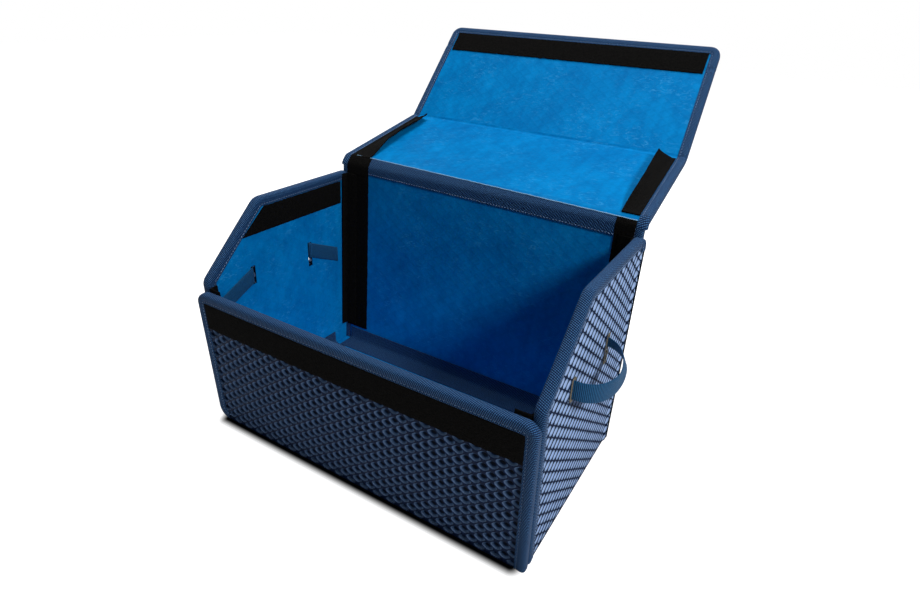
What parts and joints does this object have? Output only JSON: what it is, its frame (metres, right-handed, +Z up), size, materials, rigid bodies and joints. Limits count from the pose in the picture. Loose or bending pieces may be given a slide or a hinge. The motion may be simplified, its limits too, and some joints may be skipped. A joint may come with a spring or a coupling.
{
  "type": "folding organizer bag",
  "caption": "Folding car boot organizer box of embossed foam sheet with bound edges, webbing handles and a creased lid that closes with a hook strip.",
  "frame": {"origin": "middle of the underside of the floor panel, where the bag rests", "axes": "+Z up, the low front wall faces -Y, the lid is hinged on the back wall at +Y"},
  "size_m": [0.5722, 0.6303, 0.5222],
  "materials": {
    "foam_outside": "embossed foam sheet, satin",
    "foam_inside": "smooth foam sheet, matte",
    "binding_tape": "ribbed woven tape",
    "hook_and_loop": "matte pile",
    "webbing": "woven webbing"
  },
  "bodies": {
    "box": {"back_binding_left": "binding_tape", "back_binding_right": "binding_tape", "back_corner_loop_left": "hook_and_loop", "back_corner_loop_right": "hook_and_loop", "back_corner_tab_left": "hook_and_loop", "back_corner_tab_right": "hook_and_loop", "back_floor_tape": "binding_tape", "back_panel": "foam_outside", "bottom_panel": "foam_inside", "front_binding": "binding_tape", "front_corner_loop_left": "hook_and_loop", "front_corner_loop_right": "hook_and_loop", "front_corner_tab_left": "hook_and_loop", "front_corner_tab_right": "hook_and_loop", "front_floor_tape": "binding_tape", "front_loop_strip": "hook_and_loop", "front_panel": "foam_outside", "handle_strap_left": "webbing", "handle_strap_right": "webbing", "left_floor_tape": "binding_tape", "left_side_binding": "binding_tape", "left_side_loop_strip": "hook_and_loop", "left_side_panel": "foam_outside", "lid_hinge_tape": "binding_tape", "right_floor_tape": "binding_tape", "right_side_binding": "binding_tape", "right_side_loop_strip": "hook_and_loop", "right_side_panel": "foam_outside"},
    "lid_rear": {"lid_hinge_web": "foam_outside", "lid_rear_binding_left": "binding_tape", "lid_rear_binding_right": "binding_tape", "lid_rear_panel": "foam_outside", "lid_tab_left": "hook_and_loop", "lid_tab_right": "hook_and_loop"},
    "lid_front": {"lid_fold_web": "foam_outside", "lid_front_binding_left": "binding_tape", "lid_front_binding_right": "binding_tape", "lid_front_panel": "foam_outside"},
    "lid_flap": {"flap_fold_web": "foam_outside", "lid_flap_binding": "binding_tape", "lid_flap_panel": "foam_outside", "lid_hook_strip": "hook_and_loop"}
  },
  "joints": [
    {"name": "lid_hinge", "type": "hinge", "parent": "box", "child": "lid_rear", "pos_m": [0, 0.15328, 0.329], "axis": [1, 0, 0], "range_deg": [-20, 170.8]},
    {"name": "lid_fold", "type": "hinge", "parent": "lid_rear", "child": "lid_front", "pos_m": [0, 0.34485, 0.37042], "axis": [1, 0, 0], "range_deg": [-45, 3.6]},
    {"name": "flap_fold", "type": "hinge", "parent": "lid_front", "child": "lid_flap", "pos_m": [0, 0.4487, 0.48657], "axis": [1, 0, 0], "range_deg": [-5, 49.8]}
  ]
}
